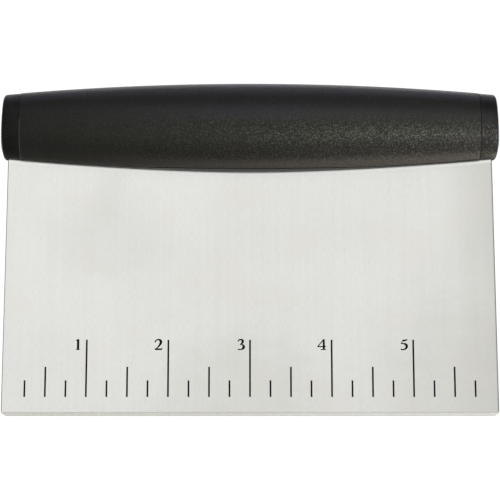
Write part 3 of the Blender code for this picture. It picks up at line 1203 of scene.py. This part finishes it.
@dataclass
class EndCap:
    """A cap that closes one end of the handle and takes the blade's upper corner in its slot."""

    form: HandleForm
    end: End
    step: float = 0.12 * MM
    edge: float = 1.0 * MM
    dome: float = 0.9 * MM
    crest_share: float = 0.72
    seam_gap: float = 0.04 * MM
    seam_radius: float = 0.1 * MM
    least_scale: float = 0.02
    face_scale: float = 0.96
    face_rings: int = 6
    seam_rings: int = 5
    side_rings: int = 8
    edge_rings: int = 12
    dome_rings: int = 14
    steps: int = 160
    slot_reach: float = 77.3 * MM
    slot_top: float = 92.8 * MM
    prong_length: float = 6.0 * MM
    prong_height: float = 5.6 * MM
    prong_inner: float = 2.45 * MM
    prong_outer: float = 4.5 * MM
    prong_nose: float = 0.5 * MM
    prong_root: float = 1.0 * MM

    def _profile(self) -> tuple[Array, Array, Array]:
        """The cap's side as a profile: place along the handle, inset and scale to the middle.

        It starts on the flat inner face, turns round the seam's small edge, runs along the side,
        turns a quarter circle at the outer edge and closes in a dome that falls off with the
        square of its scale.

        Returns:
            The places, the insets and the scales, ring by ring.
        """
        face = self.form.seam + self.seam_gap / 2
        rim = self.form.half_length - self.dome
        small_rise, small_inset = quarter_circle(self.seam_radius, self.seam_rings)
        large_rise, large_inset = quarter_circle(self.edge, self.edge_rings)
        inner = np.linspace(self.least_scale, self.face_scale, self.face_rings)
        outer = np.linspace(1.0, self.least_scale, self.dome_rings)[1:]
        side = np.linspace(face + self.seam_radius, rim - self.edge, self.side_rings)[1:-1]
        dome = rim + self.dome * (1 - outer**2)
        start, end = np.full_like(inner, self.seam_radius), np.full_like(outer, self.edge)
        full = np.ones(len(small_rise) + len(side) + len(large_rise))
        return (
            np.concatenate((np.full_like(inner, face), face + small_rise, side, rim - large_inset, dome)),
            self.step + np.concatenate((start, small_inset, np.zeros_like(side), large_rise, end)),
            np.concatenate((inner, full, outer)),
        )

    def _body(self) -> Array:
        """Rings of the cap: the section at each place, drawn in by the scale towards the dome's crest.

        The crest lies low, a fixed share of the section's height below the top.

        Returns:
            The rings.
        """
        places, insets, scales = (values[:, None] for values in self._profile())
        rim = self.form.half_length - self.dome
        level = np.minimum(places, rim)
        angle = np.linspace(0, math.tau, self.steps + 1)[None, :-1]
        points = self.form.section(level, insets, angle)
        crown, lowest = self.form.crown(level), self.form.lowest(level)
        crest = crown - self.crest_share * (crown - lowest)
        y = points[..., 1] * scales
        z = crest + (points[..., 2] - crest) * scales
        return points_at(places * self.end.value, y, z)

    def _prong(self, side: int) -> Array:
        """Rings of one prong: a rectangle carried along the handle, drawn in at its nose.

        Args:
            side: Which side of the blade, -1 for the front and 1 for the rear.

        Returns:
            The rings.
        """
        face = self.form.seam + self.form.gap / 2
        tip = face - self.prong_length
        x = np.array([tip, tip + self.prong_nose, face + self.prong_root])[:, None]
        narrowing = np.array([self.prong_nose, 0.0, 0.0])[:, None]
        near, far = self.prong_inner + narrowing, self.prong_outer - narrowing
        half = self.prong_height / 2 - narrowing
        middle = self.form.widest(np.array(self.form.seam))
        y = side * np.concatenate((near, far, far, near), axis=1)
        z = middle + np.concatenate((-half, -half, half, half), axis=1)
        return points_at(x * self.end.value, y, z)

    def build(self, finish: bpy.types.Material) -> bpy.types.Object:
        """Lofts the cap and its prongs, and cuts the slot.

        Args:
            finish: The cap's plastic.

        Returns:
            The cap.
        """
        cap = skin("cap_" + self.end.name.lower(), [self._body()], finish)
        carve(cap, self._slot_cutter())
        self._join(cap, skin("prongs", [self._prong(side) for side in (-1, 1)]))
        return cap

    @staticmethod
    def _join(piece: bpy.types.Object, other: bpy.types.Object) -> None:
        """Adds another object's mesh to a piece and removes that object.

        Args:
            piece: The object that keeps both.
            other: The object that goes.
        """
        both = bmesh.new()
        both.from_mesh(piece.data)
        both.from_mesh(other.data)
        both.to_mesh(piece.data)
        both.free()
        bpy.data.objects.remove(other)

    def _slot_cutter(self) -> bpy.types.Object:
        """A block as wide as the sheet and its clearance, from below the cap to the tang's top.

        Returns:
            The block.
        """
        sheet = self.form.sheet_clearance
        low, high = self.form.underside - CUTTER_REACH, self.slot_top
        x = np.array([0.0, self.slot_reach * self.end.value])[:, None]
        y = np.array([-sheet, sheet, sheet, -sheet])
        z = np.array([low, low, high, high])
        return skin("slot_cutter", [points_at(x, y, z)])


@dataclass(frozen=True)
class SoftLight:
    """A soft lamp somewhere round the handle's middle, that points at it."""

    name: str
    bearing: float
    rise: float
    width: float
    height: float
    power: float
    colour: Colour = (1.0, 1.0, 1.0)
    distance: float = 1.0

    def build(self, target: Vector, lit: bpy.types.Collection, alone: bool) -> None:
        """Hangs the lamp.

        Its direction is given by its bearing, in degrees to the right of the front, and by its
        rise, in degrees above the level of the target.

        Args:
            target: The point that it faces.
            lit: The pieces that it lights.
            alone: Whether these pieces alone cast its shadows.
        """
        data = bpy.data.lights.new(self.name, "AREA")
        data.shape = "RECTANGLE"
        data.size, data.size_y = self.width, self.height
        data.energy = self.power
        data.color = self.colour
        lamp = linked(self.name, data)
        bearing, rise = math.radians(self.bearing), math.radians(self.rise)
        level = math.cos(rise)
        away = Vector((math.sin(bearing) * level, -math.cos(bearing) * level, math.sin(rise)))
        lamp.location = target + away * self.distance
        lamp.rotation_euler = (-away).to_track_quat("-Z", "Y").to_euler()
        lamp.visible_camera = False
        lamp.light_linking.receiver_collection = lit
        if alone:
            lamp.light_linking.blocker_collection = lit


@dataclass
class Studio:
    """The pale floor, the soft light all round and the camera."""

    floor_half: float = 1.5
    floor_steps: int = 40
    floor_sink: float = 2.0 * MM
    camera_place: Triple = (0.0, -0.54584, -0.06364)
    camera_pitch: float = 102.0
    lens: float = 127.53
    sensor: float = 36.0
    clip: tuple[float, float] = (0.01, 50.0)
    lamp_target: Triple = (0.0, 0.0, 0.09)
    white: Colour = (1.0, 1.0, 1.0)
    room_even: float = 0.33
    room_front: float = 0.62
    room_back: float = 0.5
    room_top_loss: float = 0.3
    room_rise: float = 0.35
    room_right_loss: float = 0.12
    room_seen: float = 1.06
    lamps: tuple[SoftLight, ...] = (
        SoftLight("front_light", 0.0, 25.0, 0.25, 0.25, 1.7, (0.67, 0.62, 1.0)),
        SoftLight("level_light", 0.0, 8.0, 0.25, 0.25, 0.93, (0.78, 1.0, 0.51)),
        SoftLight("key_light", 14.0, -12.3, 0.12, 0.12, 0.98, (0.99, 1.0, 0.77), 0.422),
        SoftLight("end_light", 59.0, -17.2, 0.12, 0.12, 1.46, (1.0, 0.90, 0.99), 0.305),
        SoftLight("low_light", 33.7, -49.4, 0.12, 0.12, 0.16, (1.0, 0.88, 0.63), 0.277),
        SoftLight("floor_bounce", -75.0, -100.0, 0.4, 0.25, 2.9, (1.0, 0.90, 0.80)),
        SoftLight("low_rim", -45.0, -130.0, 0.4, 0.25, 5.1, (1.0, 0.92, 0.69)),
        SoftLight("top_light", 0.0, 90.0, 0.8, 0.25, 2.1, (0.75, 0.71, 1.0)),
        SoftLight("rear_rim", 0.0, 130.0, 0.8, 0.25, 1.24, (0.91, 0.90, 1.0)),
    )
    floor_light: SoftLight = SoftLight("floor_light", 0.0, 80.0, 1.0, 1.0, 9.0, (1.0, 1.0, 1.0), 1.3)

    def build_floor(self, finish: bpy.types.Material) -> bpy.types.Object:
        """Lays the floor under the cutting edge.

        The floor is a square grid of points that sinks outwards, by the squared distance from
        its middle.

        Args:
            finish: The floor's finish.

        Returns:
            The floor.
        """
        line = self.floor_steps + 1
        steps = np.linspace(-1, 1, line) * self.floor_half
        x, y = np.meshgrid(steps, steps, indexing="ij")
        z = -self.floor_sink * (np.hypot(x, y) / self.floor_half) ** 2
        row, column = np.arange(self.floor_steps)[:, None] * line, np.arange(self.floor_steps)
        first = (row + column).ravel()
        quads = np.stack((first, first + line, first + line + 1, first + 1), axis=-1)
        mesh = bpy.data.meshes.new("floor")
        mesh.from_pydata(points_at(x, y, z).reshape(-1, 3), [], quads.tolist())
        mesh.shade_smooth()
        mesh.materials.append(finish)
        floor = linked("floor", mesh)
        return floor

    def build_world(self) -> None:
        """A white room: even light, stronger from the front and from behind than from the sides."""
        world = bpy.data.worlds.new("studio")
        bpy.context.scene.world = world
        world.use_nodes = True
        graph = Graph(world.node_tree)
        across, along, up = graph.split(graph.node("ShaderNodeTexCoord", output="Generated"))
        front = (0 - along).ease(0.25, 0.95)
        back = along.ease(0.0, 0.7)
        high = up.ease(0.45, 0.9)
        level = self.room_even + front * self.room_front + back * self.room_back
        level = level * (1 - high * self.room_top_loss) * (1 + up * self.room_rise)
        level = level * (1 - across * self.room_right_loss)
        seen = graph.node("ShaderNodeLightPath", output="Is Camera Ray")
        strength = level * (1 - seen) + seen * self.room_seen
        room = graph.node("ShaderNodeBackground", None, {"Color": self.white, "Strength": strength})
        graph.node("ShaderNodeOutputWorld", None, {"Surface": room})

    def build_camera(self) -> None:
        """Sets the camera in front and a little below the edge, from where it looks up."""
        data = bpy.data.cameras.new("camera")
        data.lens = self.lens
        data.sensor_width = self.sensor
        data.clip_start, data.clip_end = self.clip
        camera = linked("camera", data)
        camera.location = self.camera_place
        camera.rotation_euler = (math.radians(self.camera_pitch), 0.0, 0.0)
        bpy.context.scene.camera = camera

    def build(self, handle: Sequence[bpy.types.Object]) -> None:
        """Sets up the room, with plain display colours.

        Args:
            handle: The pieces of the handle, which the lamps light alone.
        """
        view = bpy.context.scene.view_settings
        view.view_transform = "Standard"
        view.look = "None"
        floor = self.build_floor(PaleFloor().material())
        self.build_world()
        self.build_camera()
        target = Vector(self.lamp_target)
        lit = self._group("handle", handle)
        for lamp in self.lamps:
            lamp.build(target, lit, alone=True)
        self.floor_light.build(target, self._group("ground", [floor]), alone=False)

    @staticmethod
    def _group(name: str, members: Sequence[bpy.types.Object]) -> bpy.types.Collection:
        """Groups pieces that a lamp lights.

        Args:
            name: The group's name.
            members: The pieces.

        Returns:
            The group.
        """
        group = bpy.data.collections.new(name)
        for member in members:
            group.objects.link(member)
        return group


def dress_solids(finish: bpy.types.Material, *nodes: str) -> None:
    """Gives solids that stay a better material.

    Args:
        finish: The material.
        nodes: The solids' names.
    """
    for node in nodes:
        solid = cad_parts[node]
        solid.data.materials.clear()
        solid.data.materials.append(finish)
        log.info("%s: keeps its solid, in %s", node, finish.name)


def main() -> None:
    """Builds the room and every piece."""
    logging.basicConfig(level=logging.INFO, format="%(name)s: %(message)s")
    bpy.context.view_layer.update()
    form = HandleForm()
    etched = EtchedMark().material()
    satin = CapPlastic().material()

    settle(Blade().build(BrushedSteel().material()), "brushed_steel", "blade")
    ruler = Ruler()
    settle(ruler.build_marks(etched), "brushed_steel")
    settle(ruler.build_numerals(etched), "brushed_steel")
    handle = [SoftGrip(form).build(SoftRubber().material())]
    settle(handle[0], "soft_rubber", "soft_grip")
    for end in End:
        handle.append(EndCap(form, end).build(satin))
        settle(handle[-1], "cap_plastic", "end_cap_" + end.name.lower())
    dress_solids(CorePlastic().material(), "core_front", "core_rear")
    dress_solids(PinSteel().material(), "tang_pin_left", "tang_pin_centre", "tang_pin_right")
    Studio().build(handle)


if __name__ == "__main__":
    main()
